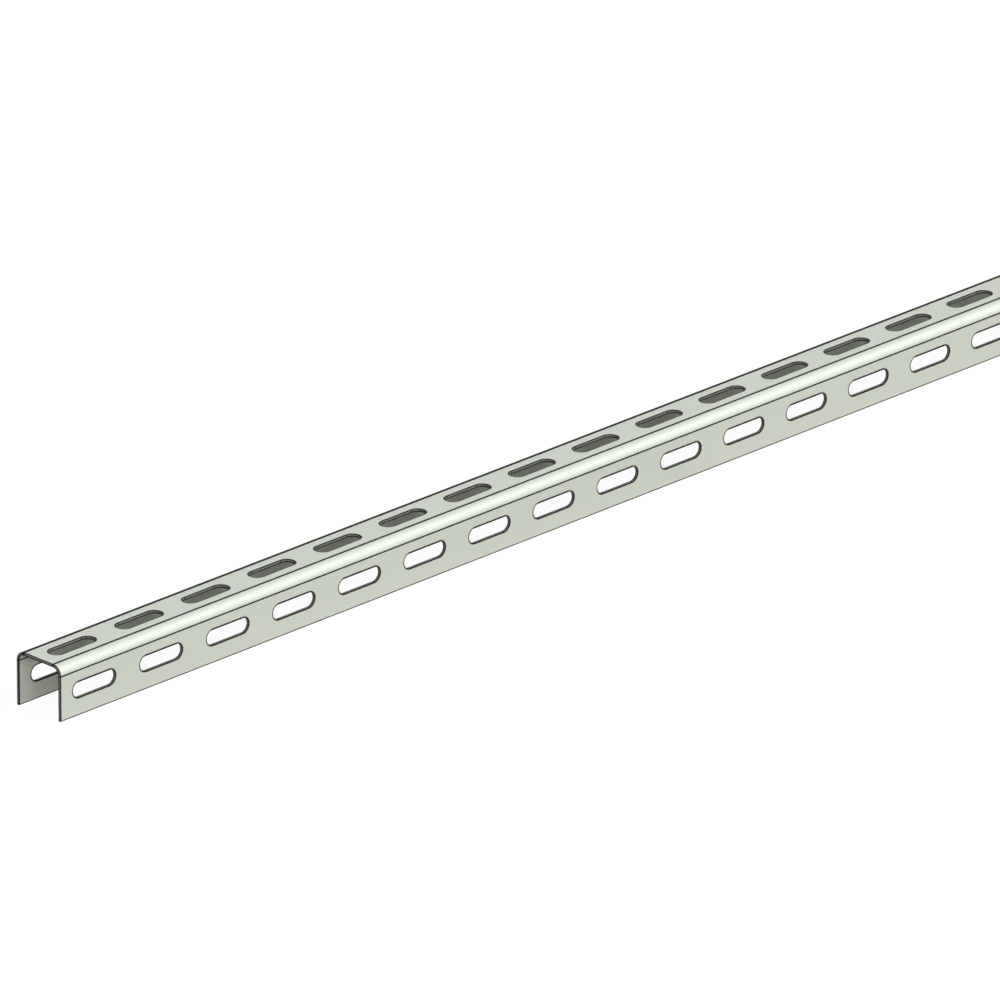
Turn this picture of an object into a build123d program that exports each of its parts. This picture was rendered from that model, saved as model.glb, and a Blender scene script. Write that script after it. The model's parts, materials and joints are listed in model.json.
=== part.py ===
from build123d import *
import os

# Slotted strut channel: one strip of sheet steel, folded to a plain U and pierced in three rows.
# It lies as it rests on a floor: web on top, both legs down, length along X.
# The origin is in the middle of its footprint, on the plane of the two leg edges.

# Driving dimensions, mm
length = 1000.0  # cut length of the stock
web_width = 34.0  # outside face to outside face of the legs
leg_height = 32.0  # free edge of a leg to the top of the web
sheet = 1.75  # thickness of the strip
inner_bend_radius = 4.0  # inside of each fold
slot_pitch = 50.0  # slot centre to slot centre, along a row
slot_length = 31.5  # rounded end to rounded end
slot_width = 9.0  # clears an M8 bolt
leg_slot_drop = 17.0  # top of the web to the centreline of a leg's slots

# Sizes that follow from them
slot_count = int(length // slot_pitch)  # a row starts and ends half a pitch from the cut ends
half_web = web_width / 2
outer_bend_radius = inner_bend_radius + sheet
leg_slot_height = leg_height - leg_slot_drop


def u_profile():
    """The folded strip, seen end on."""
    with BuildSketch(Plane.YZ) as profile:
        with BuildLine():
            FilletPolyline(
                (-half_web, 0),
                (-half_web, leg_height),
                (half_web, leg_height),
                (half_web, 0),
                radius=outer_bend_radius,
            )
            offset(amount=-sheet, side=Side.RIGHT)
        make_face()
    return profile.sketch


def slot_row(plane, cut_depth):
    """Cutters for one row of slots, centred on the plane's origin and running along its X."""
    with BuildPart() as row:
        with BuildSketch(plane):
            with GridLocations(slot_pitch, 0, slot_count, 1):
                SlotOverall(slot_length, slot_width)
        extrude(amount=cut_depth)
    return row.part


def strut_channel():
    bar = extrude(u_profile(), amount=length / 2, both=True)
    web_plane = Plane(origin=(0, 0, leg_height), x_dir=(1, 0, 0), z_dir=(0, 0, -1))
    leg_plane = Plane(origin=(0, -half_web, leg_slot_height), x_dir=(1, 0, 0), z_dir=(0, 1, 0))
    bar -= slot_row(web_plane, sheet)
    bar -= slot_row(leg_plane, web_width)  # one pass pierces both legs in line
    return bar


channel = strut_channel()

os.makedirs("parts", exist_ok=True)
export_step(channel, "parts/channel.step")
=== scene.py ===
import json
import math

import bpy
import numpy as np
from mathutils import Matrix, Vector


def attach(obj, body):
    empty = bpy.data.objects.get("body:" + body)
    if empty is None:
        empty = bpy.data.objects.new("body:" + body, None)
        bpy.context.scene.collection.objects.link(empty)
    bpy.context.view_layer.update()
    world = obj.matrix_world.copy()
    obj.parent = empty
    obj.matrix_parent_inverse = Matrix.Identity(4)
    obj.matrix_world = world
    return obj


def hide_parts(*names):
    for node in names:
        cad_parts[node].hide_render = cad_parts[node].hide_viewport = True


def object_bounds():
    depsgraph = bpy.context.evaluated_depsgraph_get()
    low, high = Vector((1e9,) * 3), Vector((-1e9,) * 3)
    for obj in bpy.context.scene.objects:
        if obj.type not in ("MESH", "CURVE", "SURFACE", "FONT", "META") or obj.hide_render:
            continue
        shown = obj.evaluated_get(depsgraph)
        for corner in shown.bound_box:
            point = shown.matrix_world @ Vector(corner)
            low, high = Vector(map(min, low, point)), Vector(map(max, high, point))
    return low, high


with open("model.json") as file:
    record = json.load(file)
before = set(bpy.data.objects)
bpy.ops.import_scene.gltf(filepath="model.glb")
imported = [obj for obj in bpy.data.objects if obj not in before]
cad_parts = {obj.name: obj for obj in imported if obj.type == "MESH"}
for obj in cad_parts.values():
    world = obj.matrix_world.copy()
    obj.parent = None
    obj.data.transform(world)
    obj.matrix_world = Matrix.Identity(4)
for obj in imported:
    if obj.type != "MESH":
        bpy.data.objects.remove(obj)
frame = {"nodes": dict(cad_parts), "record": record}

cadLow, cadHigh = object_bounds()
mm = 0.001
white = (1, 1, 1, 1)
print("frame loaded:", sorted(frame["nodes"]))


# camera: a long lens from the front, over the near end
cameraPlace = dict(
    azimuth=45.03,  # degrees off the channel's length, seen from above
    elevation=22.754,  # degrees above the floor
    distance=9.3225,  # metres back from the point it aims at
    lens=610.47,
    sensor=36.0,
    aimAlong=0.3502,  # from the near end, along the length
    aimDrop=0.01179,  # below the top of the web
    nearest=0.05,
    farthest=200.0,
)


def makeCamera(place):
    turn, rise = math.radians(place["azimuth"]), math.radians(place["elevation"])
    look = Vector((math.sin(turn) * math.cos(rise), math.cos(turn) * math.cos(rise), -math.sin(rise)))
    middle = (cadLow.y + cadHigh.y) / 2
    aim = Vector((cadLow.x + place["aimAlong"], middle, cadHigh.z - place["aimDrop"]))
    data = bpy.data.cameras.new("camera")
    data.lens, data.sensor_width = place["lens"], place["sensor"]
    data.clip_start, data.clip_end = place["nearest"], place["farthest"]
    camera = bpy.data.objects.new("camera", data)
    bpy.context.scene.collection.objects.link(camera)
    camera.location = aim - look * place["distance"]
    camera.rotation_mode = "QUATERNION"
    camera.rotation_quaternion = look.to_track_quat("-Z", "Y")
    bpy.context.scene.camera = camera


makeCamera(cameraPlace)
print("camera placed")


# shader maths: a socket that can be added, scaled and compared like a number
class Wire:
    def __init__(self, tree, socket):
        self.tree, self.socket = tree, socket

    def maths(self, operation, *values, clamp=False):
        settings = dict(operation=operation, use_clamp=clamp)
        return self.tree.node("ShaderNodeMath", settings, dict(enumerate(values)))

    def __add__(self, other):
        return self.maths("ADD", self, other)

    def __mul__(self, other):
        return self.maths("MULTIPLY", self, other)

    def __sub__(self, other):
        return self.maths("SUBTRACT", self, other)

    def __rsub__(self, other):
        return self.maths("SUBTRACT", other, self)

    __radd__, __rmul__ = __add__, __mul__

    def clamped(self):
        return self.maths("ADD", self, 0.0, clamp=True)

    def atLeast(self, other):
        return self.maths("MAXIMUM", self, other)


class NodeTree:
    def __init__(self, owner):
        owner.use_nodes = True
        self.tree = owner.node_tree
        self.tree.nodes.clear()

    # a node from its type, its settings and what goes into its sockets; out is the socket that comes back
    def node(self, kind, settings=None, sockets=None, out=0):
        made = self.tree.nodes.new(kind)
        for name, value in (settings or {}).items():
            setattr(made, name, value)
        for name, value in (sockets or {}).items():
            if isinstance(value, Wire):
                self.tree.links.new(value.socket, made.inputs[name])
            else:
                made.inputs[name].default_value = value
        return Wire(self, made.outputs[out]) if made.outputs else made

    # the colour sockets of a mix node share their names with others, so they go by number
    def mixColour(self, share, first, second):
        sockets = {"Factor": share, 6: first, 7: second}
        return self.node("ShaderNodeMix", dict(data_type="RGBA"), sockets, out=2)

    def mixShader(self, share, first, second):
        return self.node("ShaderNodeMixShader", {}, {0: share, 1: first, 2: second})

    def noise(self, place, scale, detail=2.0, roughness=0.5):
        sockets = dict(Vector=place, Scale=scale, Detail=detail, Roughness=roughness)
        return self.node("ShaderNodeTexNoise", {}, sockets)

    def stretched(self, place, scale):
        return self.node("ShaderNodeMapping", {}, dict(Vector=place, Scale=scale))

    def mark(self, name):
        return self.node("ShaderNodeAttribute", dict(attribute_name=name), out="Fac")


# the channel's sheet: pierced flat, then folded
mounts = {mount["name"]: mount for mount in frame["record"]["mounts"]}
slotMount = mounts["web_slots_near_end"]["dims"]
sheetForm = dict(
    sheet=1.75 * mm,
    innerBend=4.0 * mm,
    slotPitch=slotMount["spacing_x_mm"] * mm,
    slotLength=slotMount["slot_length_mm"] * mm,
    slotRadius=slotMount["hole_r_mm"] * mm,
    legSlotHeight=mounts["front_leg_slots_near_end"]["pos_m"][2] - cadLow.z,
    edgeRound=0.12 * mm,  # worn corner of every cut edge
    edgeTurns=(30, 60),  # degrees round that corner where it is faceted
    edgeShade=0.5,  # how far those facets are as dark as the cut face
    webRim=1.55 * mm,  # where the dark line beside a slot fades out, on the web
    legRim=1.32 * mm,  # the same on a leg
    endRim=1.05 * mm,  # and beside the cut ends and the free edges
    shearBand=0.30 * mm,  # where it fades out on the cut face, from the outside
    tearBand=1.15 * mm,  # and from the inside, where the punch tore through
    webCrease=1.60 * mm,  # where the roll line fades out, each side of where a bend meets the web
    legCrease=0.95 * mm,  # and each side of where a bend meets a leg
    backCreaseShade=4.00 * mm,  # and from the web over the back bend, reaching far there to paint shade on the bend's far side
    wallCrease=0.60 * mm,  # reach of the line down a slot's wall, where its round end begins
    quarterSteps=12,  # facets in a quarter of a slot's round end
    bendSteps=24,  # facets round a bend
    sameDigits=8,  # decimals to which two places in metres are one
)


class FlatStrip:
    # the strip before folding: x runs along it, s across it from the front leg's free edge
    def __init__(self, form):
        self.form = form
        self.length, self.width, self.height = cadHigh - cadLow
        self.bend = form["innerBend"] + form["sheet"]
        run = self.bend * math.pi / 2
        flatLeg, flatWeb = self.height - self.bend, self.width - 2 * self.bend
        self.folds = np.cumsum([flatLeg, run, flatWeb, run, flatLeg])
        self.endInset = form["endRim"] + form["edgeRound"]
        self.cells = round(self.length / form["slotPitch"])
        self.straight = form["slotLength"] / 2 - form["slotRadius"]
        self.points, self.lines, self.faces, self.seen = [], [], [], {}

    # a point, the reach of the line beside its edge, its share of a roll line (over the back bend also
    # painted shade) and of a line down a slot's wall, and whether it lies on a bend
    def point(self, x, s, rim, crease=0.0, wall=0.0, bend=0.0):
        key = (round(x, self.form["sameDigits"]), round(s, self.form["sameDigits"]))
        if key not in self.seen:
            self.seen[key] = len(self.points)
            self.points.append((x, s))
            self.lines.append((rim, crease, wall, bend))
        return self.seen[key]

    def face(self, corners, flip=False):
        self.faces.append(corners[::-1] if flip else corners)

    # how far a slot's cell goes to its left and right; the strip's own ends are left to their edge line
    def reach(self, cell):
        half = self.form["slotPitch"] / 2
        return [half - self.endInset if cell == last else half for last in (0, self.cells - 1)]

    def middle(self, cell):
        return (cell - (self.cells - 1) / 2) * self.form["slotPitch"]

    # offsets along a cell's top side, from its middle out to its corner
    def sideSteps(self, reach):
        steps = self.form["quarterSteps"] // 2
        rest = [self.straight + (reach - self.straight) * i / steps for i in range(steps + 1)]
        return [0.0, self.straight - self.form["wallCrease"]] + rest

    # one cell of a flat panel, from low to high across the strip, with its slot at s = centre
    def slottedCell(self, cell, low, high, centre, rim):
        form, middle, straight = self.form, self.middle(cell), self.straight
        steps, endRim = form["quarterSteps"], form["endRim"]
        radius = form["slotRadius"] + rim + form["edgeRound"]
        for side, reach in zip((-1, 1), self.reach(cell)):
            for edge, up in ((low, -1), (high, 1)):
                rise = abs(edge - centre)
                slot = [(0.0, radius, 0.0), (straight - form["wallCrease"], radius, 0.0)]
                slot.append((straight, radius, 1.0))
                for i in range(1, steps + 1):
                    angle = math.pi / 2 * (1 - i / steps)
                    slot.append((straight + radius * math.cos(angle), radius * math.sin(angle), 0.0))
                around = [(x, rise) for x in self.sideSteps(reach)]
                around += [(reach, rise * (1 - 2 * i / steps)) for i in range(1, steps // 2 + 1)]
                inner = [self.point(middle + side * x, centre + up * s, rim, wall=w) for x, s, w in slot]
                outer = [self.point(middle + side * x, centre + up * s, endRim) for x, s in around]
                for i in range(len(inner) - 1):
                    self.face([inner[i], outer[i], outer[i + 1], inner[i + 1]], flip=side * up > 0)

    # how much of a roll line there is at s: each line lies at a fold and fades out before and after it; over
    # the back bend it reaches far as painted shade
    def creaseAndShadeShare(self, s):
        legTop, bendTop, webEnd, bendEnd, _ = self.folds
        leg, web, back = (self.form[name] for name in ("legCrease", "webCrease", "backCreaseShade"))
        creases = [(legTop, leg, leg), (bendTop, web, web), (webEnd, web, back), (bendEnd, leg, leg)]
        share = 0.0
        for at, before, after in creases:
            share = max(share, 1 - (at - s) / before if s < at else 1 - (s - at) / after)
        return share

    # plain rows along the whole length, between one s and the next: a bend, with a narrow flat on each side
    def rows(self, stops):
        xs = []
        for cell in range(self.cells):
            left, right = (self.sideSteps(reach) for reach in self.reach(cell))
            xs += [self.middle(cell) + x for x in [-x for x in left[:0:-1]] + right]
        xs = sorted({round(x, self.form["sameDigits"]) for x in xs})
        flats = (stops[0], stops[-1])
        lines = []
        for s in stops:
            crease, bend = self.creaseAndShadeShare(s), float(s not in flats)
            lines.append([self.point(x, s, self.form["endRim"], crease, bend=bend) for x in xs])
        for lower, upper in zip(lines, lines[1:]):
            for i in range(len(xs) - 1):
                self.face([lower[i], lower[i + 1], upper[i + 1], upper[i]])

    # s, x and depth below the outer face, to the folded channel's x, y and z
    def folded(self, x, s, depth):
        legTop, bendTop, webEnd, bendEnd, _ = self.folds
        half, bend, top = self.width / 2, self.bend, self.height
        front = np.clip((s - legTop) / (bendTop - legTop), 0, 1) * math.pi / 2
        back = np.clip((s - webEnd) / (bendEnd - webEnd), 0, 1) * math.pi / 2
        radius = bend - depth
        y = np.select(
            [s <= bendTop, s <= webEnd],
            [bend - half - radius * np.cos(front), bend - half + s - bendTop],
            half - bend + radius * np.sin(back),
        )
        z = np.select(
            [s <= legTop, s <= bendTop, s <= webEnd, s <= bendEnd],
            [s, top - bend + radius * np.sin(front), top - depth, top - bend + radius * np.cos(back)],
            top - bend - (s - bendEnd),
        )
        return np.column_stack([x, y + (cadLow.y + cadHigh.y) / 2, z + cadLow.z])


def buildStrip(form):
    strip = FlatStrip(form)
    legTop, bendTop, webEnd, bendEnd, freeEdge = strip.folds
    webCrease, legCrease = form["webCrease"], form["legCrease"]
    slotS = form["legSlotHeight"]
    panels = [
        (strip.endInset, legTop - legCrease, slotS, form["legRim"]),
        (bendTop + webCrease, webEnd - webCrease, (bendTop + webEnd) / 2, form["webRim"]),
        (bendEnd + legCrease, freeEdge - strip.endInset, freeEdge - slotS, form["legRim"]),
    ]
    for low, high, centre, rim in panels:
        for cell in range(strip.cells):
            strip.slottedCell(cell, low, high, centre, rim)
    bends = [(legTop, bendTop, legCrease, webCrease), (webEnd, bendEnd, webCrease, legCrease)]
    for start, end, lead, trail in bends:
        strip.rows([start - lead, *np.linspace(start, end, form["bendSteps"] + 1), end + trail])
    return strip


# from the flat outer face, over a cut edge, to the inner face: how far out, how deep, and the marks there
def edgeProfile(form, rim):
    rounding, sheet = form["edgeRound"], form["sheet"]
    sides = []
    for band in (form["shearBand"], form["tearBand"]):
        side = [(0.0, 0.0, 0, 0), (rim, 0.0, 1, 0)]
        for angle in map(math.radians, form["edgeTurns"]):
            out, depth = rim + rounding * math.sin(angle), rounding * (1 - math.cos(angle))
            side.append((out, depth, 1, form["edgeShade"]))
        sides.append(side + [(rim + rounding, rounding, 1, 1), (rim + rounding, rounding + band, 0, 1)])
    outside, inside = sides
    return outside + [(out, sheet - depth, line, cut) for out, depth, line, cut in inside[::-1]]


# both faces of the strip, and a ring of narrow faces over every cut edge between them, folded to shape
def sheetMesh(strip):
    form = strip.form
    flat, lines = np.array(strip.points), np.array(strip.lines)
    count = len(flat)
    sides = [side for corners in strip.faces for side in zip(corners, corners[1:] + corners[:1])]
    known = set(sides)
    border = [(a, b) for a, b in sides if (b, a) not in known]
    after, before = dict(border), {b: a for a, b in border}
    edgePoints = sorted(after)
    place = {point: i for i, point in enumerate(edgePoints)}

    def rightOf(a, b):
        run = flat[b] - flat[a]
        return np.column_stack([run[:, 1], -run[:, 0]]) / np.linalg.norm(run, axis=1)[:, None]

    edge = np.array(edgePoints)
    arriving = rightOf([before[p] for p in edgePoints], edge)
    leaving = rightOf(edge, [after[p] for p in edgePoints])
    outward = (arriving + leaving) / (1 + (arriving * leaving).sum(1))[:, None]
    profiles = np.array([edgeProfile(form, lines[p, 0]) for p in edgePoints])  # edge point, step, value
    steps = profiles.shape[1]
    places = [strip.folded(flat[:, 0], flat[:, 1], np.full(count, depth)) for depth in (0.0, form["sheet"])]
    marks = dict(
        rimLine=[np.zeros(2 * count)],
        cutFace=[np.zeros(2 * count)],
        creaseLineAndShade=[np.tile(lines[:, 1], 2)],
        bendFace=[np.tile(lines[:, 3], 2)],
    )
    for step in range(1, steps - 1):
        out, depth, line, cut = profiles[:, step].T
        moved = flat[edge] + outward * out[:, None]
        places.append(strip.folded(moved[:, 0], moved[:, 1], depth))
        marks["rimLine"].append(line)
        marks["cutFace"].append(cut)
        marks["creaseLineAndShade"].append(lines[edge, 1] + lines[edge, 2] * np.floor(cut))
        marks["bendFace"].append(lines[edge, 3])

    # the first and last steps of a ring are the points of the two faces themselves
    def ringPoint(point, step):
        if step in (0, steps - 1):
            return point + (count if step else 0)
        return 2 * count + (step - 1) * len(edge) + place[point]

    faces = list(strip.faces) + [[count + p for p in corners[::-1]] for corners in strip.faces]
    for step in range(steps - 1):
        for a, b in border:
            ring = [(b, step), (a, step), (a, step + 1), (b, step + 1)]
            faces.append([ringPoint(*corner) for corner in ring])
    mesh = bpy.data.meshes.new("channel_sheet")
    mesh.from_pydata(np.vstack(places).tolist(), [], faces)
    for name, values in marks.items():
        mesh.attributes.new(name, "FLOAT", "POINT").data.foreach_set("value", np.concatenate(values))
    mesh.validate()
    mesh.shade_smooth()
    mesh.update()
    return mesh


# zinc-coated sheet: pale, faintly green, matt, with darker sheared edges and a painted highlight on the
# bends
zincFinish = dict(
    face=(0.630, 0.662, 0.594, 1),
    faceDeep=(0.592, 0.624, 0.554, 1),  # the darker of the two shades that cloud the faces
    bend=(0.656, 0.690, 0.620, 1),  # painted highlight: a brighter shade on the bends than on the flats
    bendHighlightShare=0.8,  # how far a bend has that painted highlight
    cut=(0.250, 0.258, 0.238, 1),
    # near black, for the edge lines and roll lines, and for the painted shade over the back bend
    line=(0.006, 0.006, 0.005, 1),
    lineFades=1 / 3,  # where a line's mark begins to show
    lineFull=2 / 3,  # and where it is fully dark
    metallic=0.15,
    roughness=0.53,
    specular=0.10,
    mottleStretch=(18, 90, 90),  # soft clouds, drawn out along the length
    mottleDetail=3.0,
    mottleShare=0.6,  # of the clouding; the rolled grain has the rest
    grainStretch=(90, 900, 900),  # fine rolled grain
    grainGloss=0.10,  # how much the grain changes the roughness
    lineGloss=0.2,  # how much rougher a line is
    toothScale=2600.0,  # the coating's fine tooth
    toothRough=0.6,
    toothShare=0.5,  # of the relief; the rolled grain has the rest
    reliefStrength=0.12,
    reliefHeight=0.05 * mm,
    raggedScale=900.0,  # the unevenness of a line's edge
    raggedDepth=0.3,
)
noiseMiddle = 0.5


def zincMaterial(finish):
    material = bpy.data.materials.new("zinc_sheet")
    tree = NodeTree(material)
    place = tree.node("ShaderNodeTexCoord", out="Object")
    mottle = tree.noise(tree.stretched(place, finish["mottleStretch"]), 1.0, finish["mottleDetail"])
    grain = tree.noise(tree.stretched(place, finish["grainStretch"]), 1.0)
    tooth = tree.noise(place, finish["toothScale"], roughness=finish["toothRough"])
    ragged = (tree.noise(place, finish["raggedScale"]) - noiseMiddle) * finish["raggedDepth"]
    shade = (mottle * finish["mottleShare"] + grain * (1 - finish["mottleShare"])).clamped()
    # the roll-line mark also carries painted shade over the back bend's far side
    marked = tree.mark("rimLine").atLeast(tree.mark("creaseLineAndShade")) + ragged
    lineShare = ((marked - finish["lineFades"]) * (1 / (finish["lineFull"] - finish["lineFades"]))).clamped()
    colour = tree.mixColour(shade, finish["faceDeep"], finish["face"])
    # painted highlight: the bends are coloured brighter than the flats
    colour = tree.mixColour(tree.mark("bendFace") * finish["bendHighlightShare"], colour, finish["bend"])
    colour = tree.mixColour(tree.mark("cutFace").clamped(), colour, finish["cut"])
    colour = tree.mixColour(lineShare, colour, finish["line"])
    grainGloss = (grain - noiseMiddle) * finish["grainGloss"]
    roughness = finish["roughness"] + grainGloss + lineShare * finish["lineGloss"]
    metallic = finish["metallic"] * (1 - lineShare)
    relief = tooth * finish["toothShare"] + grain * (1 - finish["toothShare"])
    normal = tree.node("ShaderNodeBump", {}, dict(
        Strength=finish["reliefStrength"], Distance=finish["reliefHeight"], Height=relief))
    surface = tree.node("ShaderNodeBsdfPrincipled", {}, {
        "Base Color": colour, "Metallic": metallic.clamped(), "Roughness": roughness.clamped(),
        "Normal": normal, "Specular IOR Level": finish["specular"]})
    tree.node("ShaderNodeOutputMaterial", {}, dict(Surface=surface))
    return material


strip = buildStrip(sheetForm)
channel = bpy.data.objects.new("channel_sheet", sheetMesh(strip))
bpy.context.scene.collection.objects.link(channel)
channel.data.materials.append(zincMaterial(zincFinish))
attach(channel, "root")
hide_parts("channel")
print("sheet folded:", len(channel.data.polygons), "faces")


# floor and light
setting = dict(
    floorReach=30.0,
    floorBounce=(0.32, 0.32, 0.26, 1),  # what the floor throws back onto the sheet
    floorGlow=1.05,
    shadowShare=0.10,  # how much of the floor's own shading shows
    skyLight=0.16,
    key=dict(toward=(0.645, -0.540, 0.540), strength=2.28, spread=45),
    fill=dict(toward=(-0.45, -0.75, 0.64), strength=1.42, spread=60),
    back=dict(toward=(0.30, 0.90, 0.12), strength=0.9, spread=60),
)


# 1 for rays from the camera, from a reflection or through glass
def seenDirectly(tree):
    rays = ("Is Camera Ray", "Is Glossy Ray", "Is Transmission Ray")
    camera, glossy, clear = (tree.node("ShaderNodeLightPath", out=ray) for ray in rays)
    return camera.atLeast(glossy).atLeast(clear)


def makeFloor(setting):
    reach = setting["floorReach"]
    mesh = bpy.data.meshes.new("floor")
    corners = [(-reach, -reach), (reach, -reach), (reach, reach), (-reach, reach)]
    mesh.from_pydata([(x, y, cadLow.z) for x, y in corners], [], [(0, 1, 2, 3)])
    floor = bpy.data.objects.new("floor", mesh)
    bpy.context.scene.collection.objects.link(floor)
    material = bpy.data.materials.new("floor_white")
    tree = NodeTree(material)
    bounce = tree.node("ShaderNodeBsdfDiffuse", {}, dict(Color=setting["floorBounce"]))
    paper = tree.node("ShaderNodeBsdfDiffuse", {}, dict(Color=white))
    glow = tree.node("ShaderNodeEmission", {}, dict(Color=white, Strength=setting["floorGlow"]))
    under = tree.node("ShaderNodeBsdfTransparent")
    shown = tree.mixShader(setting["shadowShare"], glow, paper)
    upper = tree.mixShader(seenDirectly(tree), bounce, shown)
    surface = tree.mixShader(tree.node("ShaderNodeNewGeometry", out="Backfacing"), upper, under)
    tree.node("ShaderNodeOutputMaterial", {}, dict(Surface=surface))
    mesh.materials.append(material)


def makeSky(setting):
    world = bpy.data.worlds.new("sky")
    bpy.context.scene.world = world
    tree = NodeTree(world)
    seen = seenDirectly(tree)
    level = seen + (1 - seen) * setting["skyLight"]
    sky = tree.node("ShaderNodeBackground", {}, dict(Color=white, Strength=level))
    tree.node("ShaderNodeOutputWorld", {}, dict(Surface=sky))


def makeSun(name, lamp):
    data = bpy.data.lights.new(name, "SUN")
    data.energy, data.angle = lamp["strength"], math.radians(lamp["spread"])
    sun = bpy.data.objects.new(name, data)
    bpy.context.scene.collection.objects.link(sun)
    sun.rotation_mode = "QUATERNION"
    sun.rotation_quaternion = Vector(lamp["toward"]).to_track_quat("Z", "Y")


makeFloor(setting)
makeSky(setting)
for name in ("key", "fill", "back"):
    makeSun(name, setting[name])
bpy.context.scene.view_settings.view_transform = "Standard"
print("floor and light set")
